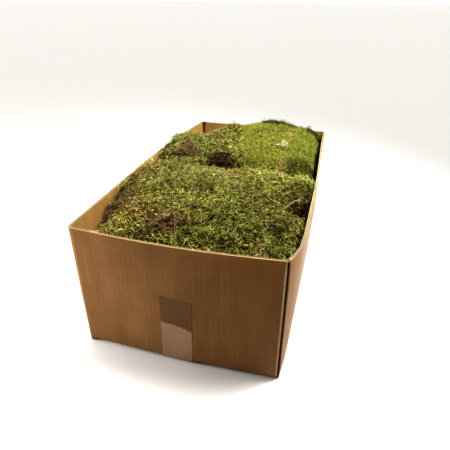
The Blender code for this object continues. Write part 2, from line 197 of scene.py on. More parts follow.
bodyName = sorted(frame["bodies"])[0]
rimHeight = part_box("carton")[1].z
cartonMesh = nodes["carton"].data
cartonTree = BVHTree.FromPolygons(
    [v.co for v in cartonMesh.vertices], [face.vertices for face in cartonMesh.polygons]
)

frontMat, leftMat, cushion = "front_mat", "back_left_mat", "back_right_cushion"

# Along each wall, and outward through it.
sides = {
    "south": (Vector((1, 0, 0)), Vector((0, -1, 0))),
    "north": (Vector((1, 0, 0)), Vector((0, 1, 0))),
    "west": (Vector((0, 1, 0)), Vector((-1, 0, 0))),
    "east": (Vector((0, 1, 0)), Vector((1, 0, 0))),
}


class Nodes:
    # A thin wrapper, so that a material reads as a list of what feeds what.
    def __init__(self, name, shader="Principled BSDF", home="materials"):
        self.material = getattr(bpy.data, home).new(name)
        self.material.use_nodes = True
        self.tree = self.material.node_tree
        self.shader = self.tree.nodes[shader]

    def add(self, kind, feeds=None, **values):
        node = self.tree.nodes.new(kind)
        for key, value in values.items():
            setattr(node, key, value)
        for socket, source in (feeds or {}).items():
            self.join(source, node.inputs[socket])
        return node

    def join(self, source, target):
        if hasattr(source, "is_linked"):
            self.tree.links.new(source, target)
        else:
            target.default_value = source

    def math(self, operation, *sources):
        node = self.add("ShaderNodeMath", operation=operation)
        for socket, source in zip(node.inputs, sources):
            self.join(source, socket)
        return node.outputs[0]

    def times(self, first, second):
        return self.math("MULTIPLY", first, second)

    def plus(self, first, second):
        return self.math("ADD", first, second)

    def sum(self, *parts):
        # Of sources, each with what it is multiplied by.
        made = None
        for source, factor in parts:
            scaled = self.times(source, factor)
            made = self.plus(made, scaled) if made is not None else scaled
        return made

    def rise(self, source, low, high):
        # 0 where the source is low and 1 where it is high, on one slope.
        return self.math("MULTIPLY_ADD", source, 1 / (high - low), -low / (high - low))

    def hold(self, source):
        return self.math("MINIMUM", self.math("MAXIMUM", source, 0.0), 1.0)

    def place(self, kind="Object"):
        return self.add("ShaderNodeTexCoord").outputs[kind]

    def split(self, vector):
        return self.add("ShaderNodeSeparateXYZ", {"Vector": vector}).outputs

    def facing(self, outward, direction):
        feeds = {0: outward, 1: direction}
        return self.add("ShaderNodeVectorMath", feeds, operation="DOT_PRODUCT").outputs["Value"]

    def flutes(self, across):
        # The faint waves that the fluted sheet leaves in what lies over it.
        return self.math("SINE", self.times(across, 2 * math.pi / boardPlan["flutePitch"]))

    def noise(self, where, scale, detail=4.0, roughness=0.55, stretch=None):
        if stretch:
            where = self.add("ShaderNodeMapping", {"Vector": where, "Scale": stretch}).outputs[0]
        feeds = {"Vector": where, "Scale": scale, "Detail": detail, "Roughness": roughness}
        return self.add("ShaderNodeTexNoise", feeds).outputs["Fac"]

    def ramp(self, source, *stops):
        node = self.add("ShaderNodeValToRGB", {"Fac": source})
        row = node.color_ramp.elements
        while len(row) < len(stops):
            row.new(0.5)
        for element, (position, colour) in zip(row, stops):
            element.position = position
            element.color = (*linear(*colour), 1.0)
        return node.outputs["Color"]

    def blend(self, share, first, second, kind="MIX"):
        node = self.add("ShaderNodeMix", data_type="RGBA", blend_type=kind)
        colourA, colourB = [s for s in node.inputs if s.type == "RGBA"]
        self.join(share, node.inputs[0])
        for socket, source in ((colourA, first), (colourB, second)):
            self.join(source if hasattr(source, "is_linked") else (*source, 1.0), socket)
        return [s for s in node.outputs if s.type == "RGBA"][0]

    def toned(self, share, colour, factor):
        return self.blend(share, colour, self.blend(1.0, colour, factor, "MULTIPLY"))

    def bump(self, height, distance):
        feeds = {"Height": height, "Distance": distance}
        self.join(self.add("ShaderNodeBump", feeds).outputs[0], self.shader.inputs["Normal"])

    def surface(self, colour, roughness, specular=0.3):
        self.join(colour, self.shader.inputs["Base Color"])
        self.join(roughness, self.shader.inputs["Roughness"])
        self.shader.inputs["Specular IOR Level"].default_value = specular
        return self.material


cameraPlan = {
    "place": (0.18753, -0.73019, 0.47825),
    "azimuth": 14.98,       # degrees, from -Y towards +X
    "elevation": 27.987,    # degrees above the horizon
    "roll": 0.836,
    "lens": 33.758,         # mm on a 36 mm square frame
}

lightPlan = {
    "boxes": {
        "softbox": {
            "place": (0.4, -0.02, 0.85), "aim": (0.02, 0.1, 0.2),
            "size": 0.4, "watts": 7.0, "spread": 95,
        },
        "sideBox": {
            "place": (-0.52, -0.46, 0.24), "aim": (-0.1, -0.306, 0.08),
            "size": 0.16, "watts": 1.3, "spread": 120,
        },
        "rightBox": {
            "place": (0.8, -0.14, 0.1), "aim": (0.17, -0.12, 0.1),
            "size": 0.3, "watts": 0.45, "spread": 120, "tint": (0.9, 1.0, 0.76),
        },
    },
    "side": {"azimuth": -82, "elevation": 12, "spread": 12, "strength": 1.5},
    "sky": 2.0,
    "skyTint": (1.0, 0.99, 0.975, 1.0),
    "darkSide": {"azimuth": 24, "elevation": 0, "strength": 0.0, "edges": (-0.16, 0.22)},
    "floor": (0.79, 0.78, 0.76, 1.0),
    "gamma": 0.7,
}


def directionTo(plan):
    a, e = math.radians(plan["azimuth"]), math.radians(plan["elevation"])
    return Vector((math.sin(a) * math.cos(e), -math.cos(a) * math.cos(e), math.sin(e)))


def turnTo(name, back, roll=0.0):
    # Names the camera or light that was just added, and turns it to look away from "back".
    added = bpy.context.object
    added.name = name
    added.rotation_mode = "QUATERNION"
    added.rotation_quaternion = back.to_track_quat("Z", "Y") @ Quaternion((0, 0, 1), math.radians(roll))
    return added


def addCamera(plan):
    bpy.ops.object.camera_add(location=plan["place"])
    camera = turnTo("photoCamera", directionTo(plan), plan["roll"])
    camera.data.sensor_width = 36
    camera.data.sensor_fit = "HORIZONTAL"
    camera.data.lens = plan["lens"]
    camera.data.clip_start = 0.01
    bpy.context.scene.camera = camera


def addSoftbox(name, plan):
    bpy.ops.object.light_add(type="AREA", location=plan["place"])
    box = turnTo(name, Vector(plan["place"]) - Vector(plan["aim"])).data
    box.size = plan["size"]
    box.energy = plan["watts"]
    box.spread = math.radians(plan["spread"])
    box.color = plan.get("tint", (1.0, 1.0, 1.0))


def addSideLight(plan):
    toLight = directionTo(plan)
    bpy.ops.object.light_add(type="SUN", location=toLight * 3)
    sun = turnTo("sideLight", toLight).data
    sun.angle = math.radians(plan["spread"])
    sun.energy = plan["strength"]


def addSky(plan):
    # White all round and above, and dark behind the camera, as in a tent with an open front.
    made = Nodes("lightTent", "Background", "worlds")
    bpy.context.scene.world = made.material
    made.shader.inputs["Color"].default_value = plan["skyTint"]
    dark = plan["darkSide"]
    ends = ("From Min", "From Max", "To Min", "To Max")
    feeds = dict(zip(ends, (*dark["edges"], plan["sky"], dark["strength"])))
    feeds["Value"] = made.facing(made.place("Generated"), directionTo(dark))
    fall = made.add("ShaderNodeMapRange", feeds, interpolation_type="SMOOTHSTEP")
    made.join(fall.outputs["Result"], made.shader.inputs["Strength"])


def addStudio(plan):
    addSky(plan)
    for name, box in plan["boxes"].items():
        addSoftbox(name, box)
    addSideLight(plan["side"])
    bpy.ops.mesh.primitive_plane_add(size=400, location=(0, 0, 0))
    floor = bpy.context.object
    floor.name = "studioFloor"
    floor.data.materials.append(Nodes("whitePaper").surface(plan["floor"], 0.9, 0.5))
    view = bpy.context.scene.view_settings
    view.view_transform = "Standard"
    view.gamma = plan["gamma"]


addCamera(cameraPlan)
addStudio(lightPlan)
print("camera, light and floor set")


boardPlan = {
    "liner": 0.00045,  # thickness of each paper face
    "grooveDepth": 0.0008,  # how far down the open flutes show at the rim
    "flutePitch": 0.0077,
    "fluteSwing": 0.00105,  # half the way the medium swings between the liners
    "fluteSheet": 0.00026,
    "fluteTop": 0.0002,  # how far below the rim its upper edge is
    "look": 0.0008,  # and where the outer face is read off
    "middle": 0.002,  # from the board's outer face to the middle of its thickness
    # The outer liner is darker and the inner lighter: lit and shaded copies of one kraft, painted shade for
    # the front panel and painted light for the inner walls.
    "outerLiner": ((124, 90, 48), (138, 102, 58), (154, 118, 74)),
    "innerLiner": ((142, 110, 64), (157, 126, 78), (170, 140, 92)),
    "rawEdge": ((156, 134, 97), (196, 174, 133), (222, 202, 162)),
    # What a colour is multiplied by, and between which two places that sets in.
    "paintedShade": (0.87, 0.78, 0.56), "paintedShadeAcross": (-0.05, 0.15),  # painted shade: the end walls darker towards the right
    "rimTint": (1.26, 1.22, 0.92), "rimTintUp": (0.145, 0.195),  # and on that part, lighter and yellower towards the rim
    "paintedShadeOnSides": (0.62, 0.66, 0.74),  # painted shade: the cut rim of the long walls darker
    "sidesOut": (0.13, 0.155), "sidesUp": (0.185, 0.195),
    "edgeFoot": (0.84, 0.66, 0.76), "footDown": (0.2, 0.0),  # the cut edge at the corner, downwards
    "crushed": 0.0027,  # width of the crushed edge beside the slit
    "slitWider": 0.0008,
    # Where these are: the least and most of X, and of Y.
    "slitFace": (0.1495, 0.1525, -0.299, -0.292),
    "slitEdge": (0.1485, 0.1517, -0.299, -0.2962),
    "cutFace": (0.14, 0.1517, -0.4, -0.29),
    "tabFace": (0.118, 0.2, -0.2935, -0.286),
    "fold": Vector((-0.1477, 0.2989)),
    "foldReach": 0.003,  # of the painted shade in the crease of that inner corner at the back left
    "foldTop": 0.0052, "foldFoot": 0.1,
    "rimBand": 0.002,  # a face less than this below the rim is on top
}
# Between which places along each wall the flutes show.
fluteRuns = {
    "south": (-0.139, 0.143), "north": (-0.141, 0.147),
    "west": (-0.287, 0.293), "east": (-0.282, 0.293),
}


def kraftMaterial(name):
    made = Nodes(name)
    where = made.place()
    split = made.split(where)
    outward = made.split(made.place("Normal"))
    endWall = made.math("GREATER_THAN", made.math("ABSOLUTE", outward["Y"]), 0.6)
    across = made.add("ShaderNodeMix", {0: endWall, 2: split["Y"], 3: split["X"]}, data_type="FLOAT")
    waves = made.flutes(across.outputs[0])
    blotches = made.noise(where, 14.0, 3.0)
    fibres = made.noise(where, 420.0, 5.0, 0.7)
    streaks = made.noise(where, 55.0, 3.0, 0.6, stretch=(1.0, 1.0, 0.12))
    shade = made.sum((blotches, 0.45), (fibres, 0.3), (streaks, 0.3), (waves, 0.012))
    colour = made.ramp(shade, *zip((0.36, 0.52, 0.7), boardPlan[name]))
    # Painted shade: the end walls get darker towards the right.
    paintedShade = made.hold(made.times(endWall, made.rise(split["X"], *boardPlan["paintedShadeAcross"])))
    colour = made.toned(paintedShade, colour, boardPlan["paintedShade"])
    # On that same part, lighter and yellower towards the rim.
    rimTint = made.hold(made.times(paintedShade, made.rise(split["Z"], *boardPlan["rimTintUp"])))
    colour = made.toned(rimTint, colour, boardPlan["rimTint"])
    made.bump(made.sum((waves, 0.5), (fibres, 0.35)), 0.00006)
    return made.surface(colour, made.math("MULTIPLY_ADD", fibres, 0.2, 0.38), 0.22)


def rawEdgeMaterial():
    made = Nodes("rawBoardEdge")
    where = made.place()
    torn = made.noise(where, 900.0, 4.0, 0.7)
    colour = made.ramp(torn, *zip((0.3, 0.55, 0.75), boardPlan["rawEdge"]))
    split = made.split(where)
    # Painted shade: the cut rim of the long walls is darker.
    side = made.rise(made.math("ABSOLUTE", split["X"]), *boardPlan["sidesOut"])
    high = made.rise(split["Z"], *boardPlan["sidesUp"])
    colour = made.toned(made.hold(made.math("MINIMUM", side, high)), colour, boardPlan["paintedShadeOnSides"])
    low = made.hold(made.rise(split["Z"], *boardPlan["footDown"]))
    colour = made.toned(low, colour, boardPlan["edgeFoot"])
    made.bump(torn, 0.0002)
    return made.surface(colour, 0.85, 0.2)


def shadeMaterial():
    # Painted shade: dark board for the bottom of the slit and the inner corner at the back left.
    made = Nodes("paintedShadeBoard")
    shadeGrain = made.noise(made.place(), 300.0, 3.0)
    return made.surface(made.ramp(shadeGrain, (0.35, (58, 34, 14)), (0.65, (92, 60, 30))), 0.8, 0.1)


def within(place, left, right, front, back):
    return left < place.x < right and front < place.y < back


def crushEdge(board):
    # The cut edge beside the slit.
    startEdit(board, "VERT")
    pickPoints(board, lambda v: within(v, *boardPlan["slitFace"]))
    bpy.ops.transform.translate(value=(-boardPlan["slitWider"], 0, 0))
    endEdit()
    startEdit(board, "EDGE")
    pickPoints(board, lambda v: within(v, *boardPlan["slitEdge"]))
    bpy.ops.mesh.bevel(offset=boardPlan["crushed"], segments=2, affect="EDGES", material=1)
    endEdit()


def isFold(face):
    far = (face.center.xy - boardPlan["fold"]).length
    onTop = face.center.z > rimHeight - boardPlan["rimBand"]
    return face.center.z > boardPlan["foldFoot"] and far < boardPlan["foldTop" if onTop else "foldReach"]


def makeCarton(rawEdge):
    board = copyNode("carton", "cartonBoard")
    for material in (kraftMaterial("outerLiner"), rawEdge, shadeMaterial(), kraftMaterial("innerLiner")):
        board.data.materials.append(material)
    startEdit(board)
    # The inward faces get the inner liner, painted lighter.
    paintFaces(board, 3, lambda face: abs(face.normal.z) < 0.5 and face.normal.xy.dot(face.center.xy) < 0)
    endEdit()
    crushEdge(board)
    startEdit(board)
    paintFaces(board, 1, lambda face: face.normal.x > 0.9 and within(face.center, *boardPlan["cutFace"]))
    # Painted shade on the tab that shows at the bottom of the slit.
    paintFaces(board, 2, lambda face: face.normal.y < -0.9 and within(face.center, *boardPlan["tabFace"]))
    paintFaces(board, 1, lambda face: face.normal.z > 0.9 and face.center.z > rimHeight - 0.0005)
    bpy.ops.mesh.inset(thickness=boardPlan["liner"], depth=0)
    drop = (0, 0, -boardPlan["grooveDepth"])
    bpy.ops.mesh.extrude_region_move(TRANSFORM_OT_translate={"value": drop})
    # Painted shade in the crease of the inner corner at the back left, and on the rim above it.
    paintFaces(board, 2, isFold)
    endEdit()
    soften(board)
    finishPiece(board, replaced="carton")


def makeFlutes(rawEdge):
    # The fluted sheet between the liners, where the cut rim shows it.
    height = boardPlan["grooveDepth"]
    middle = rimHeight - boardPlan["fluteTop"] - height / 2
    look = Vector((0, 0, rimHeight - boardPlan["look"]))
    step = boardPlan["flutePitch"] / 8
    ribbons = []
    for side, (first, last) in fluteRuns.items():
        along, outward = sides[side]
        places = []
        for i in range(int((last - first) / step) + 1):
            start = along * (first + i * step) + look
            outer = cartonTree.ray_cast(start + outward, -outward)[0]
            if outer is not None:
                swing = boardPlan["fluteSwing"] * math.sin(i * math.pi / 4)
                place = outer - outward * (boardPlan["middle"] + swing)
                places.append((place.x, place.y, 0))
        curve = bpy.data.curves.new(side + "Flutes", "CURVE")
        curve.dimensions = "2D"
        curve.extrude = height / 2
        addLine(curve, places)
        ribbon = linked(side + "Flutes", curve)
        ribbon.location.z = middle
        ribbons.append(ribbon)
    flutes = joinPieces(ribbons, ribbons[0], "boardFlutes")
    applyModifier(flutes, "SOLIDIFY", thickness=boardPlan["fluteSheet"], offset=0.0)
    flutes.data.materials.clear()
    finishPiece(flutes, rawEdge)


rawBoardEdge = rawEdgeMaterial()
makeCarton(rawBoardEdge)
makeFlutes(rawBoardEdge)
print("carton made")


tapePlan = {
    "bonded": linear(112, 75, 34),
    "milky": linear(166, 134, 104),
    "lift": 0.0715,  # height of the line below which air is under the film
    "slant": 0.2,  # how much that line falls to the right
    "ragged": 0.018,  # how far it strays up and down
    "sharp": 450.0,  # one over the height in which the milk comes up below it
    "milk": 0.26,  # the least of it
    "pressed": 0.0005,  # how far the film is pressed home on the front panel
    "front": -0.29,
}


def tapeMaterial():
    made = Nodes("tapeFilm")
    where = made.place()
    split = made.split(where)
    ragged = made.noise(where, 240.0, 5.0, 0.7, stretch=(1.0, 1.0, 0.22))
    streaks = made.noise(where, 420.0, 3.0, 0.6, stretch=(1.0, 1.0, 0.04))
    cloud = made.noise(where, 60.0, 3.0)
    line = made.math("SUBTRACT", tapePlan["lift"], made.times(split["X"], tapePlan["slant"]))
    stray = made.times(made.math("SUBTRACT", ragged, 0.5), tapePlan["ragged"])
    line = made.plus(line, stray)
    below = made.times(made.math("SUBTRACT", line, split["Z"]), tapePlan["sharp"])
    veil = made.plus(tapePlan["milk"], made.sum((cloud, 0.5), (streaks, 0.9)))
    milk = made.math("MINIMUM", made.times(made.hold(below), veil), 1.0)
    colour = made.blend(milk, tapePlan["bonded"], tapePlan["milky"])
    made.bump(made.plus(made.times(made.flutes(split["X"]), 0.5), cloud), 0.00005)
    made.shader.inputs["Coat Weight"].default_value = 0.12
    made.shader.inputs["Coat Roughness"].default_value = 0.18
    return made.surface(colour, 0.34, 0.25)


def makeTape():
    tape = copyNode("packing_tape", "tapeStrip")
    startEdit(tape, "VERT")
    pickPoints(tape, lambda v: v.y < tapePlan["front"])
    bpy.ops.transform.translate(value=(0, tapePlan["pressed"], 0))
    endEdit()
    soften(tape)
    finishPiece(tape, tapeMaterial(), "packing_tape")


makeTape()
print("tape made")


# The moss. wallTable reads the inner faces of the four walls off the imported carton.
mossReach = 0.05                        # how far below the rim there are shoots
rimMargin = 0.0006
wallReach = {"short": 0.138, "long": 0.285}     # how far to each side a wall is read, and how often
wallReadings = 41
wallLevels = (rimHeight - mossReach, rimHeight - rimMargin)


def wallTable():
    table = {}
    for side, (along, outward) in sides.items():
        reach = wallReach["long" if along.y else "short"]
        places = np.linspace(-reach, reach, wallReadings)
        rows = []
        for height in wallLevels:
            starts = [along * place + Vector((0, 0, height)) for place in places]
            rows.append([cartonTree.ray_cast(start, outward)[0].dot(outward) for start in starts])
        table[side] = (places, np.array(rows))
    return table


walls = wallTable()


def wallAt(side, along, height):
    places, rows = walls[side]
    share = np.clip((height - wallLevels[0]) / (wallLevels[1] - wallLevels[0]), 0, 1)
    low = np.interp(along, places, rows[0])
    high = np.interp(along, places, rows[1])
    return low * (1 - share) + high * share


def keepInside(points, room=0.0004, overhang=0.0065):
    # Below the rim the shoots stop at the board, and above it they may hang over a little.
    x, y, z = points[:, 0], points[:, 1], points[:, 2]
    over = np.where(z > rimHeight + rimMargin, overhang, -room)
    np.clip(x, -(wallAt("west", y, z) + over), wallAt("east", y, z) + over, out=x)
    np.clip(y, -(wallAt("south", x, z) + over), wallAt("north", x, z) + over, out=y)
    return points


# A leafy shoot is made of its leaves alone, and one without leaves is a three-sided stem.
growthPlans = {
    "mat": {"joints": 5, "step": 0.0025, "bend": 24, "leaf": 0.00145, "opening": 30},
    "runner": {"joints": 8, "step": 0.0025, "bend": 22, "leaf": 0.0013, "opening": 32},
    "cushion": {"joints": 4, "step": 0.0019, "bend": 13, "leaf": 0.00108, "opening": 44},
    "straw": {"joints": 7, "step": 0.0032, "bend": 8, "girth": 0.00042},
    "root": {"joints": 6, "step": 0.0022, "bend": 20, "girth": 0.00026},
}
growthKinds = 7
# How much one joint or leaf differs from the next, as factors or in degrees.
habit = {
    "bend": (0.4, 1.6), "turn": (-22, 22), "step": (0.85, 1.15), "opening": (0.7, 1.3),
    "leafTurn": (-0.4, 0.4),  # radians
    "taper": 0.88, "shrink": 0.1,
}
# Where along a shoot the brown of its foot has turned green.
greening = {"mat": (0.22, 0.78), "runner": (0.1, 0.5), "cushion": (-0.1, 0.42)}


def modelGrowth(plan, draw):
    # A bent line of joints, with a tapering stem along it or with leaves standing off each joint.
    leafy = "leaf" in plan
    girth = plan.get("girth", 0.001)
    shoot = startPrimitive(bpy.ops.mesh.primitive_circle_add, vertices=3, radius=girth)
    bpy.ops.mesh.select_mode(type="EDGE")
    bpy.ops.mesh.select_all(action="SELECT")
    if leafy:
        bpy.ops.mesh.delete(type="VERT")
    tip = Vector((0, 0, 0))
    heading = Vector((0, 0, 1))
    stops = []
    side = 0.0
    for joint in range(plan["joints"]):
        lean = math.radians(plan["bend"] * draw.uniform(*habit["bend"]))
        side += math.radians(draw.uniform(*habit["turn"]))
        heading.rotate(Quaternion((-math.sin(side), math.cos(side), 0), lean))
        move = heading * plan["step"] * draw.uniform(*habit["step"])
        tip += move
        stops.append((tip.copy(), heading.copy(), 1 - habit["shrink"] * joint))
        if not leafy:
            bpy.ops.mesh.extrude_region_move(TRANSFORM_OT_translate={"value": move})
            bpy.ops.transform.resize(value=(habit["taper"],) * 3, center_override=tip)
    if not leafy:
        bpy.ops.mesh.merge(type="CENTER")
    for number, (place, along, size) in enumerate(stops * leafy):
        for quarter in range(4):
            turn = math.radians(90 * quarter + 45 * number)
            addLeaf(place, along, size * plan["leaf"], turn, plan["opening"], draw)
    endEdit()
    return takeShape(shoot)


def takeShape(piece):
    # The finished model as arrays. It is removed, and its copies are planted from these.
    applyModifier(piece, "TRIANGULATE")
    points = np.array([v.co for v in piece.data.vertices])
    faces = np.array([face.vertices[:] for face in piece.data.polygons])
    bpy.data.objects.remove(piece)
    reach = np.linalg.norm(points, axis=1)
    return {"points": points, "faces": faces, "reach": reach / reach.max()}


def addLeaf(place, along, size, turn, opening, draw):
    # One pointed leaf, as a triangle with its foot on the joint.
    outward = along.orthogonal().normalized()
    outward.rotate(Quaternion(along, turn + draw.uniform(*habit["leafTurn"])))
    angle = math.radians(opening * draw.uniform(*habit["opening"]))
    heading = along * math.cos(angle) + outward * math.sin(angle)
    facing = heading.cross(along.cross(outward)).normalized()
    across = facing.cross(heading)
    turned = Matrix((across, heading, facing)).transposed().to_euler()
    middle = place + heading * size / 3
    bpy.ops.mesh.primitive_circle_add(
        vertices=3, radius=size / 1.5, fill_type="NGON", location=middle, rotation=turned
    )


crumbPlan = {"radius": 0.001, "sides": ((0.9, 1.7), (0.6, 1.0), (0.25, 0.5)), "rough": 0.0004}


def modelCrumb(draw):
    # A flake of bark or dry leaf, a millimetre or two across.
    ball = {"subdivisions": 1, "radius": crumbPlan["radius"]}
    crumb = startPrimitive(bpy.ops.mesh.primitive_ico_sphere_add, **ball)
    bpy.ops.transform.resize(value=[draw.uniform(low, high) for low, high in crumbPlan["sides"]])
    bpy.ops.transform.vertex_random(offset=crumbPlan["rough"], seed=int(draw.integers(1, 900)))
    endEdit()
    return takeShape(crumb)


draw = np.random.default_rng(11)
shapes = {name: [modelGrowth(plan, draw) for _ in range(growthKinds)] for name, plan in growthPlans.items()}
shapes["crumb"] = [modelCrumb(draw) for _ in range(growthKinds)]
print("growth modelled")


mossColours = {  # as read off a screen, 0 to 255
    "olive": (207, 203, 116),
    "lime": (213, 217, 116),
    "bright": (170, 167, 80),
    "fresh": (134, 150, 62),
    "green": (168, 188, 96),
    "deep": (94, 106, 42),
    "crest": (70, 77, 30),
    # shade is painted shade, for moss that lies in shadow
    "shade": (46, 50, 18),
    "ochre": (206, 180, 112),
    "straw": (192, 178, 134),
    "stem": (156, 122, 92),
    "dead": (114, 92, 56),
    "peat": (68, 53, 28),
}
rootColour = np.array(linear(48, 33, 8))
depth = np.array((1.0, 1.0, 2.2))       # dark shoots are deeper in colour, and light ones paler
ownHue = 0.5                            # how far a shoot's colour departs from those around it
toneLimits = (0.22, 1.34)               # the darkest and the lightest that a shoot may be
paintedFrontLight = 0.24                        # painted light: how much lighter the moss gets towards the front panel
frontReach = (-0.13, -0.25)             # and between which places on Y

# In each plan: gaps is the share missing in thin places, uneven how much the shoots differ in tone,
# patchy how much the colours keep to patches, and paintedTuftLight how much lighter the tufts' tops
# and darker the dips between them are painted, as painted light and shade.
mossPlans = {
    frontMat: {
        "name": "frontMatShoots", "kind": "mat", "slot": "olive_moss", "under": "peatFelt",
        "felt": 0.006, "count": 11800, "pieces": 3,
        "tilt": (38, 82), "sink": (0.004, 0.009), "size": (0.75, 1.3), "spread": 1.0, "tuft": 0.0036,
        "gaps": 0.42, "uneven": 0.72, "patchy": 2.4, "paintedTuftLight": 0.34,
        "mix": {"olive": 5, "lime": 3, "green": 3.4, "deep": 1.2, "ochre": 1.7, "straw": 0.7, "dead": 0.4},
    },
    leftMat: {
        "name": "backLeftMatShoots", "kind": "mat", "slot": "brown_moss", "under": "peatFelt",
        "felt": 0.008, "count": 5200, "pieces": 1,
        "tilt": (25, 78), "sink": (0.0054, 0.0112), "size": (0.8, 1.35), "spread": 1.2, "tuft": 0.005,
        "gaps": 0.5, "uneven": 0.74, "patchy": 2.4, "paintedTuftLight": 0.42,
        "mix": {"olive": 5, "lime": 1.2, "green": 3, "deep": 3.6, "ochre": 1.9, "straw": 0.4, "dead": 1.5},
    },
    cushion: {
        "name": "cushionShoots", "kind": "cushion", "slot": "bright_moss", "under": "greenFelt",
        "felt": 0.0045, "count": 9600, "pieces": 2,
        "tilt": (20, 76), "sink": (0.0038, 0.0062), "size": (0.85, 1.15), "spread": 3.0, "tuft": 0.001,
        "gaps": 0.15, "uneven": 0.24, "patchy": 0.9, "paintedTuftLight": 0.2,
        "mix": {"olive": 1, "bright": 7, "fresh": 4, "deep": 0.5, "ochre": 0.3, "straw": 0.1},
    },
}

# Longer shoots that lie on top of the others.
runnerPlans = {
    frontMat: {
        "name": "frontMatRunners", "kind": "runner", "slot": "olive_moss",
        "count": 4000, "pieces": 1, "tilt": (66, 88), "sink": (0.0, 0.003), "size": (0.6, 1.2),
        "spread": 3.0, "tuft": 0.0036,
        "gaps": 0.4, "uneven": 0.56, "patchy": 2.0, "paintedTuftLight": 0.3,
        "mix": {"olive": 5, "lime": 4, "green": 2, "deep": 0.5, "ochre": 2.4, "straw": 1.4, "dead": 0.5},
    },
    leftMat: {
        "name": "backLeftMatRunners", "kind": "runner", "slot": "brown_moss",
        "count": 800, "pieces": 1, "tilt": (60, 86), "sink": (0.001, 0.004), "size": (0.6, 1.2),
        "spread": 3.0, "tuft": 0.0055, "gaps": 0.5, "uneven": 0.42, "patchy": 1.7, "paintedTuftLight": 0.34,
        "mix": {"olive": 5, "lime": 3, "green": 3, "deep": 0.8, "ochre": 2.4, "straw": 1.0, "dead": 0.8},
    },
}

# In the tables of places, X, Y and the reach round them are in millimetres.
# Where the moss is of another colour: X, Y, reach, colour and how much of the moss there.
mossPatches = (
    # the mound at the back left
    (-107, 73, 18, "peat", 0.85), (-103, 72, 15, "straw", 0.12), (-46, 150, 20, "ochre", 0.6),
    (-116, 98, 12, "dead", 0.55), (-129, 42, 12, "peat", 0.6), (-146, 84, 16, "lime", 0.4),
    (-78, 110, 28, "green", 0.6), (-72, 62, 18, "lime", 0.4),
    (-16, 78, 17, "bright", 0.85),  # the cushion's green runs over the seam here
    (-24, 112, 18, "bright", 0.75), (-34, 214, 14, "deep", 0.6), (-28, 234, 14, "dead", 0.5),
    # along the left wall
    (-140, -196, 23, "dead", 0.75), (-138, -160, 16, "dead", 0.5), (-146, -85, 34, "ochre", 0.7),
    (-136, -62, 18, "dead", 0.35), (-136, -144, 15, "lime", 0.6), (-92, -170, 28, "lime", 0.4),
    (-140, -30, 26, "ochre", 0.6), (-90, -15, 30, "deep", 0.25), (-100, -222, 55, "ochre", 0.5),
    # the middle
    (-27, 41, 36, "peat", 0.8),  # the cavity: its dark peat, partly painted shade
    # the first, painted shade on the cavity's upper side
    (-32, 60, 14, "shade", 0.45), (12, 0, 26, "dead", 0.25), (-11, -122, 13, "dead", 0.85),
    (18, -170, 17, "lime", 0.85), (-12, -178, 15, "lime", 0.7), (44, -160, 16, "lime", 0.7),
    (105, -94, 17, "lime", 0.6), (62, -208, 22, "green", 0.45), (98, -158, 14, "deep", 0.5),
    (73, -159, 14, "ochre", 0.6), (16, -50, 18, "ochre", 0.6), (91, 0, 20, "ochre", 0.5),
    # the front
    (-30, -250, 22, "dead", 0.6),  # litter round the bark
    (8, -247, 14, "dead", 0.45), (14, -272, 11, "dead", 0.4), (-20, -284, 17, "lime", 0.85),
    (3, -284, 14, "lime", 0.8), (-50, -284, 13, "deep", 0.6), (72, -232, 18, "green", 0.6),
    (124, -238, 22, "green", 0.5), (127, -206, 17, "crest", 0.6), (69, -277, 16, "dead", 0.45),
    (137, -269, 22, "deep", 0.35),
    # by the right wall
    (148, -128, 22, "peat", 0.75),  # the hollow: dark peat, partly painted shade
    (138, -60, 26, "green", 0.28),  # the ridge
    (136, 40, 36, "shade", 0.97),  # painted shade at the shaded foot of the cushion, with the next two
    (138, 12, 26, "shade", 0.95), (116, 22, 20, "shade", 0.8), (90, 30, 12, "ochre", 0.7),
    # painted shade on the cushion's flank by the right wall
    (154, 120, 22, "deep", 0.7),
    # the cushion
    (30, 46, 20, "deep", 0.6), (84, 200, 9, "ochre", 0.6), (68, 208, 8, "deep", 0.5),
    (122, 140, 30, "fresh", 0.7), (128, 200, 26, "fresh", 0.6),
    (22, 268, 11, "crest", 0.65),  # its crest against the back wall
    (40, 262, 13, "crest", 0.75), (58, 272, 13, "crest", 0.7), (78, 266, 11, "crest", 0.6),
    (96, 276, 10, "crest", 0.5), (116, 276, 12, "crest", 0.45), (144, 278, 14, "crest", 0.45),
)

# Where it has thinned out down to the old growth: X, Y, reach and the share that is missing.
thinPlaces = (
    (-27, 41, 34, 1.0),  # the cavity
    (4, 46, 10, 0.9),
    (154, -132, 18, 1.0),  # the hollow by the right wall
    (156, -112, 14, 1.0), (136, -140, 12, 0.85), (-107, 72, 13, 0.6), (-130, 44, 10, 0.9),
    (-116, 99, 6, 0.8),
    (-50, -243, 11, 0.9),  # beside the bark
    (-12, -248, 10, 1.0), (-24, -264, 10, 0.95), (-26, -246, 10, 1.0),
    (-146, -212, 14, 0.7),  # along the left wall
    (-148, -170, 10, 0.7), (-56, -285, 7, 0.7), (-13, -117, 9, 0.55), (96, -227, 6, 0.8),
    (144, 34, 18, 0.6), (132, 10, 18, 0.85),
)

# The dome stands clear of the right wall by this much, and towards the back it does so less.
clearing = {"room": (0.004, 0.01), "less": 0.02, "back": (0.24, 0.26)}

# Where the shoots lie lower: X, Y, reach and how many millimetres they drop.
lowPlaces = (
    (-122, 215, 34, 7),  # the back left corner
    (134, 8, 26, 8),  # before the foot of the cushion
    (55, 240, 45, 3),  # under the tufts of the crest
)


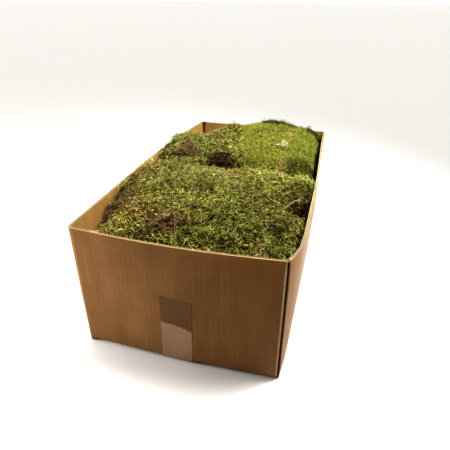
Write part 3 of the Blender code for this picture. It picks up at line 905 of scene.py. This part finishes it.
def surfaceSample(mesh, count, draw):
    # Points spread evenly over a mat's upper faces, with the normals smoothed.
    mesh.calc_loop_triangles()
    corners = np.array([triangle.vertices[:] for triangle in mesh.loop_triangles])
    places = np.array([v.co for v in mesh.vertices])
    normals = np.array([v.normal for v in mesh.vertices])
    a, b, c = (places[corners[:, i]] for i in range(3))
    cross = np.cross(b - a, c - a)
    area = np.linalg.norm(cross, axis=1) / 2
    upward = cross[:, 2] / (2 * area + 1e-12)
    middle = (a + b + c)[:, 2] / 3
    weight = area * smooth(-0.1, 0.5, upward) * (middle > rimHeight - mossReach)
    bounds = np.cumsum(weight) / weight.sum()
    picked = np.searchsorted(bounds, (np.arange(count) + draw.random(count)) / count)
    picked = np.minimum(picked, len(bounds) - 1)
    u, v = draw.random(count), draw.random(count)
    flip = u + v > 1
    u[flip], v[flip] = 1 - u[flip], 1 - v[flip]
    share = np.stack((1 - u - v, u, v), axis=1)[:, :, None]
    point = (places[corners[picked]] * share).sum(axis=1)
    normal = (normals[corners[picked]] * share).sum(axis=1)
    return point, unit(normal)


def unit(rows):
    return rows / np.linalg.norm(rows, axis=1, keepdims=True)


# How uneven the moss is by nature: how far apart the lumps are, and the layer of noise that is read.
lumps = {
    "patch": (0.03, 10.0), "tone": (0.012, 30.0), "gap": (0.016, 70.0),
    "tuft": (0.017, 50.0), "fineTuft": (0.008, 60.0),
}


def noiseAt(points, kind, number=0):
    spacing, layer = lumps[kind]
    layer += number
    where = points[:, :2] / spacing
    return np.array([noise.noise(Vector((x, y, layer))) for x, y in where])


def nearness(points, x, y, reach, edge=3):
    # 1 at the place and 0 well beyond its reach, with a softer or harder edge.
    away = np.hypot(points[:, 0] - x / 1000, points[:, 1] - y / 1000)
    return np.exp(-((away / (reach / 1000)) ** edge))


def tuftHeight(points):
    # The shoots stand in tufts one to three centimetres across, with dips between them.
    return 0.65 * noiseAt(points, "tuft") + 0.35 * noiseAt(points, "fineTuft")


def thinned(points, plan, draw):
    # True for the shoots that stay.
    missing = plan["gaps"] * smooth(0.3, 0.62, noiseAt(points, "gap"))
    for x, y, reach, share in thinPlaces:
        missing = np.maximum(missing, share * nearness(points, x, y, reach, 6))
    if plan["kind"] == "cushion":
        room = wallAt("east", points[:, 1], rimHeight) - points[:, 0]
        room = room + clearing["less"] * smooth(*clearing["back"], points[:, 1])
        missing = np.maximum(missing, 1 - smooth(*clearing["room"], room))
    return draw.random(len(points)) >= missing


def shootColours(points, plan, draw, patches=True):
    # The colours come in patches, and most shoots differ a little from those around them.
    uneven = plan["uneven"]
    names = list(mossColours)
    share = np.tile([plan["mix"].get(name, 0.0) for name in names], (len(points), 1))
    for layer, name in enumerate(names):
        share[:, layer] *= np.exp(plan["patchy"] * noiseAt(points, "patch", layer))
    share /= share.sum(axis=1, keepdims=True)
    for x, y, reach, name, most in mossPatches * patches:
        here = most * nearness(points, x, y, reach)[:, None]
        share *= 1 - here
        share[:, names.index(name)] += here[:, 0]
    draws = draw.random(len(points))[:, None]
    picked = (np.cumsum(share, axis=1) < draws).sum(axis=1)
    picked = np.minimum(picked, len(names) - 1)
    palette = np.array([linear(*mossColours[name]) for name in names])
    around = share @ palette
    own = around + ownHue * (palette[picked] - around)
    tone = np.exp(draw.normal(0, uneven, len(points)) + 0.3 * uneven * noiseAt(points, "tone"))
    # Painted light: the moss is lighter towards the front panel.
    lift = np.exp(paintedFrontLight * smooth(*frontReach, points[:, 1]))
    return own * lift[:, None] * np.clip(tone, *toneLimits)[:, None] ** depth


slopeStep = 0.0005          # how far aside the tufts' slope is read
rolledOver = (-0.15, 0.45)  # how shoots bend up or down: the middle and how much they differ


def turnedFrames(normal, plan, points, draw):
    # One frame per shoot: Z is the way it sets off, and X the way it bends over.
    count = len(normal)
    ahead = points + np.array((slopeStep, 0, 0))
    aside = points + np.array((0, slopeStep, 0))
    here = tuftHeight(points)
    angle = np.arctan2(here - tuftHeight(aside), here - tuftHeight(ahead))
    angle += draw.normal(0, plan["spread"], count)
    flat = np.stack((np.cos(angle), np.sin(angle), np.zeros(count)), axis=1)
    along = unit(flat - normal * (flat * normal).sum(axis=1, keepdims=True))
    tilt = np.radians(draw.uniform(*plan["tilt"], count))[:, None]
    heading = normal * np.cos(tilt) + along * np.sin(tilt)
    sideways = np.cross(normal, heading) * np.where(draw.random(count) < 0.5, -1, 1)[:, None]
    sideways = unit(sideways + normal * draw.normal(*rolledOver, count)[:, None])
    bend = unit(sideways - heading * (sideways * heading).sum(axis=1, keepdims=True))
    return np.stack((bend, np.cross(heading, bend), heading), axis=2)


def meshFromArrays(name, points, faces, colours, uvs):
    mesh = bpy.data.meshes.new(name)
    mesh.vertices.add(len(points))
    mesh.vertices.foreach_set("co", points.ravel())
    mesh.loops.add(faces.size)
    mesh.loops.foreach_set("vertex_index", faces.ravel())
    mesh.polygons.add(len(faces))
    mesh.polygons.foreach_set("loop_start", np.arange(0, faces.size, 3))
    tint = mesh.color_attributes.new("tint", "FLOAT_COLOR", "POINT")
    tint.data.foreach_set("color", np.insert(colours, 3, 1.0, axis=1).ravel())
    layer = mesh.uv_layers.new(name="OFBake")
    layer.data.foreach_set("uv", uvs[faces.ravel()].ravel())
    mesh.update(calc_edges=True)
    mesh.validate()
    return linked(name, mesh)


def copiesOf(kind, members, root, frames, size, tipColour, draw):
    # The copies of one kind of growth, joined to one set of arrays. One UV cell for each copy.
    across = math.ceil(math.sqrt(len(members)))
    gathered = []
    start = 0
    picks = draw.integers(0, growthKinds, len(members))
    for pick, shape in enumerate(shapes[kind]):
        cells = np.flatnonzero(picks == pick)
        chosen = members[cells]
        local = shape["points"][None] * size[chosen, None, None]
        placed = np.einsum("nij,nkj->nki", frames[chosen], local) + root[chosen, None]
        reach = np.broadcast_to(shape["reach"], placed.shape[:2])
        grown = smooth(*greening.get(kind, (-2, -1)), reach)[:, :, None]
        colours = rootColour * (1 - grown) + tipColour[chosen, None] * grown
        cell = np.stack((cells % across, cells // across), axis=1)[:, None]
        inside = np.stack((draw.uniform(0.1, 0.9, reach.shape), 0.1 + 0.8 * reach), axis=2)
        corners = len(shape["points"])
        faces = shape["faces"][None] + start + corners * np.arange(len(chosen))[:, None, None]
        rows = (placed, faces, colours, (cell + inside) / across)
        gathered.append([row.reshape(-1, row.shape[-1]) for row in rows])
        start += corners * len(chosen)
    points, *others = (np.concatenate(rows) for rows in zip(*gathered))
    return keepInside(points), *others


def plantPiece(name, plan, *growth):
    piece = meshFromArrays(name, *copiesOf(plan["kind"], *growth))
    finishPiece(piece, mossMaterial)
    print(name, len(piece.data.polygons), "triangles")


def plantShoots(plan, bed, draw):
    point, normal = surfaceSample(bed.data, plan["count"], draw)
    stays = thinned(point, plan, draw)
    point, normal = point[stays], normal[stays]
    frames = turnedFrames(normal, plan, point, draw)
    size = draw.uniform(*plan["size"], len(point))
    tuft = tuftHeight(point)
    drop = sum(fall / 1000 * nearness(point, x, y, reach) for x, y, reach, fall in lowPlaces)
    root = point - normal * (drop + draw.uniform(*plan["sink"], len(point)) - plan["tuft"] * tuft)[:, None]
    tipColour = shootColours(point, plan, draw)
    # Painted light and shade: the tufts' tops lighter and the dips between them darker.
    tipColour *= np.exp(plan["paintedTuftLight"] * tuft)[:, None] ** depth
    order = np.argsort(point[:, 1])
    for number, members in enumerate(np.array_split(order, plan["pieces"])):
        plantPiece("%s%d" % (plan["name"], number + 1), plan, members, root, frames, size, tipColour, draw)


def shootMaterial():
    made = Nodes("mossShoots")
    tint = made.add("ShaderNodeAttribute", attribute_name="tint").outputs["Color"]
    shade = made.math("MULTIPLY_ADD", made.noise(made.place(), 700.0, 2.0), 0.5, 0.75)
    colour = made.add("ShaderNodeVectorMath", {0: tint, "Scale": shade}, operation="SCALE")
    return made.surface(colour.outputs[0], 0.55, 0.05)


feltColours = {
    "peatFelt": ((14, 8, 3), (36, 24, 8), (66, 46, 20)),
    "greenFelt": ((42, 38, 11), (68, 67, 22), (94, 94, 36)),
}


def feltMaterial(name):
    made = Nodes(name)
    fine = made.noise(made.place(), 260.0, 4.0, 0.65)
    made.bump(fine, 0.0012)
    return made.surface(made.ramp(fine, *zip((0.3, 0.5, 0.72), feltColours[name])), 0.9, 0.02)


def displace(piece, pattern, size, strength, middle=0.5):
    lumps = bpy.data.textures.new(piece.name + "Lumps", pattern)
    lumps.noise_scale = size
    where = {"texture": lumps, "texture_coords": "OBJECT"}
    applyModifier(piece, "DISPLACE", strength=strength, mid_level=middle, **where)


feltPlan = {"inset": 0.0012, "depth": 0.06, "lumps": 0.009, "height": 0.0045, "middle": 0.6}


def makeFelt(nodeName, plan):
    # The matted old growth under the shoots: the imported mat, drawn in from its own surface.
    bed = copyNode(nodeName, "")
    felt = linked(plan["name"].replace("Shoots", "Felt"), bed.data.copy())
    startEdit(felt)
    pickFaces(felt, lambda face: face.normal.z > -0.5)
    bpy.ops.transform.shrink_fatten(value=-feltPlan["inset"])
    pickFaces(felt, lambda face: face.normal.z > 0.3 and face.center.z > rimHeight - feltPlan["depth"])
    bpy.ops.transform.shrink_fatten(value=-plan["felt"])
    endEdit()
    applyModifier(felt, "SUBSURF", subdivision_type="SIMPLE", levels=2, render_levels=2)
    displace(felt, "CLOUDS", feltPlan["lumps"], feltPlan["height"], feltPlan["middle"])
    finishPiece(felt, felts[plan["under"]], nodeName)
    print(felt.name, len(felt.data.polygons), "faces")
    return bed


# Along the meeting line of the cushion and the back left mat.
seamLine = ((11, 44), (4, 64), (-3, 84), (-11, 104), (-18, 124), (-23, 144), (-28, 164), (-32, 184),
            (-36, 204), (-41, 224))
seamPlaces = [(*place, 11, 1) for place in seamLine]

# Loose bits on and in the moss, and the tufts at the crest. For each bed: how many, and places
# with X, Y, reach and share of the count.
litterPlans = {
    "crestTufts": {
        "kind": "mat", "slot": "bright_moss", "tilt": (24, 80), "sink": (0.0034, 0.0098),
        "size": (0.8, 1.35),
        "mix": {"crest": 9, "deep": 3, "green": 1, "peat": 2},
        "beds": {
            cushion: (620, (20, 264, 12, 2), (40, 257, 12, 4), (60, 266, 12, 3), (82, 258, 10, 2),
                      (116, 264, 10, 2)),
        },
    },
    "cornerTufts": {
        "kind": "mat", "slot": "bright_moss", "tilt": (10, 70), "sink": (-0.001, 0.006), "size": (0.8, 1.3),
        "mix": {"crest": 6, "deep": 4, "ochre": 2, "peat": 3},
        "beds": {cushion: (300, (142, 276, 14, 3), (128, 284, 12, 1))},
    },
    "backTufts": {
        "kind": "mat", "slot": "brown_moss", "tilt": (20, 80), "sink": (0.004, 0.0105), "size": (0.8, 1.3),
        "mix": {"olive": 3, "ochre": 3, "deep": 5, "dead": 4, "peat": 2},
        "beds": {
            leftMat: (160, (-82, 286, 10, 2), (-62, 290, 8, 1)),
            cushion: (110, (-36, 288, 10, 2), (-18, 290, 8, 1)),
        },
    },
    "seamShoots": {
        "kind": "mat", "slot": "brown_moss", "tilt": (20, 80), "sink": (-0.002, 0.006), "size": (0.8, 1.35),
        "mix": {"olive": 4, "lime": 2, "green": 4, "deep": 3, "ochre": 1, "dead": 1},
        "beds": {leftMat: (420, *seamPlaces), cushion: (260, *seamPlaces)},
    },
    "strawStems": {
        "kind": "straw", "slot": "dry_leaf", "tilt": (74, 92), "sink": (-0.002, 0.0015),
        "size": (0.35, 0.85),
        "mix": {"straw": 6, "ochre": 3, "olive": 1},
        "beds": {
            frontMat: (150, (10, -110, 200, 3), (-128, -180, 45, 3), (12, -30, 35, 2),
                       (118, -262, 20, 0.6)),
            leftMat: (50, (-80, 120, 120, 1),),
            cushion: (10, (70, 60, 60, 2), (60, 180, 100, 1)),
        },
    },
    "deadStems": {
        "kind": "root", "slot": "dead_wood", "tilt": (30, 88), "sink": (0.0, 0.005), "size": (0.7, 1.5),
        "mix": {"stem": 6, "dead": 3, "peat": 2},
        "beds": {
            frontMat: (620, (-138, -190, 30, 3), (-28, -248, 26, 2), (0, -120, 160, 3),
                       (-20, 26, 12, 0.12)),
            leftMat: (460, (-108, 75, 26, 3), (-80, 150, 120, 2), (-18, 46, 12, 0.12)),
            cushion: (60, (80, 40, 40, 1),),
        },
    },
    "crumbs": {
        "kind": "crumb", "slot": "bark", "tilt": (0, 40), "sink": (-0.002, 0.001), "size": (0.45, 1.25),
        "mix": {"dead": 5, "peat": 5, "ochre": 2, "straw": 1},
        "beds": {
            frontMat: (420, (0, -130, 220, 4), (-30, -250, 30, 2)),
            leftMat: (160, (-80, 120, 120, 1),),
            cushion: (70, (80, 60, 60, 2), (60, 180, 100, 1)),
        },
    },
}


# The three loose things that have a solid of their own.
chipPlan = {
    "knobs": 0.0012, "lumps": 0.004,
    "girth": (0.9, 1.05, 1.45), "shift": (0.0006, 0.0004, -0.0022),
    "face": Vector((-0.1, -0.8, 0.59)), "turned": 0.72, "paintedFaceLight": 0.7,  # the side turned front and up is paler: partly its pale broken face, partly painted light
    "dark": (62, 46, 30), "mid": (106, 84, 54), "pale": (156, 132, 100),
}

leafPlan = {
    "thickness": 0.00035,
    "dark": (76, 66, 42), "mid": (132, 123, 90), "pale": (184, 175, 138),
    # Of each flake: middle, half width, half height, how far it stands up, turn and seed.
    "flakes": (
        ((0.003, 0.003, 0.006), 0.0075, 0.006, 50, 8, 3),
        ((-0.009, -0.002, 0.003), 0.008, 0.0024, 35, -14, 8),
        ((0.011, -0.004, 0.003), 0.0034, 0.0036, 60, 20, 5),
        ((0.002, -0.006, 0.002), 0.005, 0.0032, 30, -30, 21),
    ),
}

twigPlan = {
    "route": ((-0.021, -0.0125, 0), (-0.014, -0.0065, 0.0016), (-0.009, -0.0048, 0.0022),
              (-0.002, -0.0005, 0.003), (0.006, 0.005, 0.0026), (0.012, 0.0088, 0.0014),
              (0.019, 0.0135, 0)),
    "stub": ((0.004, 0.0035, 0.0028), (0.009, 0.0015, 0.0034), (0.013, -0.0035, 0.002)),
    "radius": 0.0008, "turn": 35,
    "dark": (98, 84, 60), "mid": (138, 124, 94), "pale": (172, 158, 126),
}


def litterMaterial(name, plan, scale, stretch=(1.0, 1.0, 1.0)):
    made = Nodes(name)
    grain = made.noise(made.place(), scale, 5.0, 0.65, stretch=stretch)
    made.bump(grain, 0.0006)
    # Paler on the side that faces the plan's face: partly a pale broken face, partly painted light.
    if "face" in plan:
        turned = made.math("SUBTRACT", made.facing(made.place("Normal"), plan["face"]), plan["turned"])
        grain = made.plus(grain, made.times(turned, plan["paintedFaceLight"]))
    stops = ((0.32, plan["dark"]), (0.52, plan["mid"]), (0.7, plan["pale"]))
    return made.surface(made.ramp(grain, *stops), 0.8, 0.2)


def makeChip():
    chip = copyNode("bark_chip", "barkNugget")
    low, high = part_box("bark_chip")
    startEdit(chip, pick="SELECT")
    bpy.ops.transform.resize(value=chipPlan["girth"], center_override=(low + high) / 2)
    bpy.ops.transform.translate(value=chipPlan["shift"])
    endEdit()
    applyModifier(chip, "SUBSURF", levels=2, render_levels=2)
    displace(chip, "VORONOI", chipPlan["lumps"], chipPlan["knobs"])
    bark = litterMaterial("barkSkin", chipPlan, 260.0, (1.0, 0.5, 2.0))
    finishPiece(chip, bark, "bark_chip")


scrapPlan = {  # torn bits of the liner, on the front rim near its two corners
    "thickness": 0.0003,
    "flakes": (
        ((-0.11, -0.2985, 0.2022), 0.005, 0.0022, 35, 10, 4),
        ((-0.117, -0.297, 0.2016), 0.003, 0.0018, 60, -25, 9),
        ((0.144, -0.2965, 0.2018), 0.005, 0.0022, 40, 15, 12),
        ((0.151, -0.2945, 0.2022), 0.003, 0.0022, 65, -35, 6),
    ),
}


def makeFlakes(name, plan, middle):
    flakes = []
    for offset, halfWidth, halfHeight, standing, turn, seed in plan["flakes"]:
        flake = startPrimitive(bpy.ops.mesh.primitive_circle_add, vertices=9, radius=1, fill_type="TRIFAN")
        bpy.ops.mesh.subdivide(number_cuts=3, fractal=1.1, fractal_along_normal=0.7, seed=seed)
        bpy.ops.transform.resize(value=(halfWidth, halfHeight, halfHeight), center_override=(0, 0, 0))
        endEdit()
        flake.rotation_euler = (math.radians(standing), 0, math.radians(turn))
        flake.location = middle + Vector(offset)
        flakes.append(flake)
    joined = joinPieces(flakes, flakes[-1], name)
    applyModifier(joined, "SOLIDIFY", thickness=plan["thickness"], offset=0.0)
    return joined


def makeLeaf():
    leaf = makeFlakes("leafFragments", leafPlan, footOf("leaf_scrap"))
    finishPiece(leaf, litterMaterial("dryLeaf", leafPlan, 420.0), "leaf_scrap")


def makeScraps():
    scraps = makeFlakes("linerScraps", scrapPlan, Vector((0, 0, 0)))
    finishPiece(scraps, rawBoardEdge)


def makeTwig():
    curve = bpy.data.curves.new("twigLine", "CURVE")
    curve.dimensions = "3D"
    curve.bevel_depth = twigPlan["radius"]
    curve.bevel_resolution = 2
    curve.use_fill_caps = True
    for route, thin in ((twigPlan["route"], 1.0), (twigPlan["stub"], 0.65)):
        line = addLine(curve, route)
        for number, point in enumerate(line.points):    # tapers, with a knot at every other point
            point.radius = thin * (1.1 - 0.45 * number / len(route) + 0.12 * (number % 2))
    twig = linked("barkedTwig", curve)
    twig.location = footOf("twig") + Vector((0, 0, twigPlan["radius"]))
    twig.rotation_euler.z = math.radians(twigPlan["turn"])
    take(twig)
    bpy.ops.object.convert(target="MESH")
    bpy.ops.object.transform_apply()
    applyModifier(twig, "SUBSURF", levels=1, render_levels=1)
    finishPiece(twig, litterMaterial("twigBark", twigPlan, 500.0), "twig")


looseGrowth = {"spread": 3.0, "uneven": 0.27, "patchy": 2.2, "choices": 40}


def scatter(name, plan, beds, draw):
    # Picks places from many times as many, by how near they are to where the plan has them.
    gathered = []
    for nodeName, (count, *near) in plan["beds"].items():
        point, normal = surfaceSample(beds[nodeName].data, looseGrowth["choices"] * count, draw)
        weight = sum(s * nearness(point, x, y, reach) / (reach / 1000) ** 2 for x, y, reach, s in near)
        picked = draw.choice(len(point), count, replace=False, p=weight / weight.sum())
        gathered.append((point[picked], normal[picked]))
    point, normal = (np.concatenate(rows) for rows in zip(*gathered))
    frames = turnedFrames(normal, {**looseGrowth, **plan}, point, draw)
    size = draw.uniform(*plan["size"], len(point))
    root = point - normal * draw.uniform(*plan["sink"], len(point))[:, None]
    tipColour = shootColours(point, {**looseGrowth, **plan}, draw, patches=False)
    plantPiece(name, plan, np.arange(len(point)), root, frames, size, tipColour, draw)


mossMaterial = shootMaterial()
felts = {name: feltMaterial(name) for name in feltColours}
beds = {}
for nodeName, plan in mossPlans.items():
    beds[nodeName] = makeFelt(nodeName, plan)
    plantShoots(plan, beds[nodeName], draw)
for nodeName, plan in runnerPlans.items():
    plantShoots(plan, beds[nodeName], draw)
for name, plan in litterPlans.items():
    scatter(name, plan, beds, draw)
makeChip()
makeLeaf()
makeScraps()
makeTwig()
for bed in beds.values():
    bpy.data.objects.remove(bed)
print("moss planted")
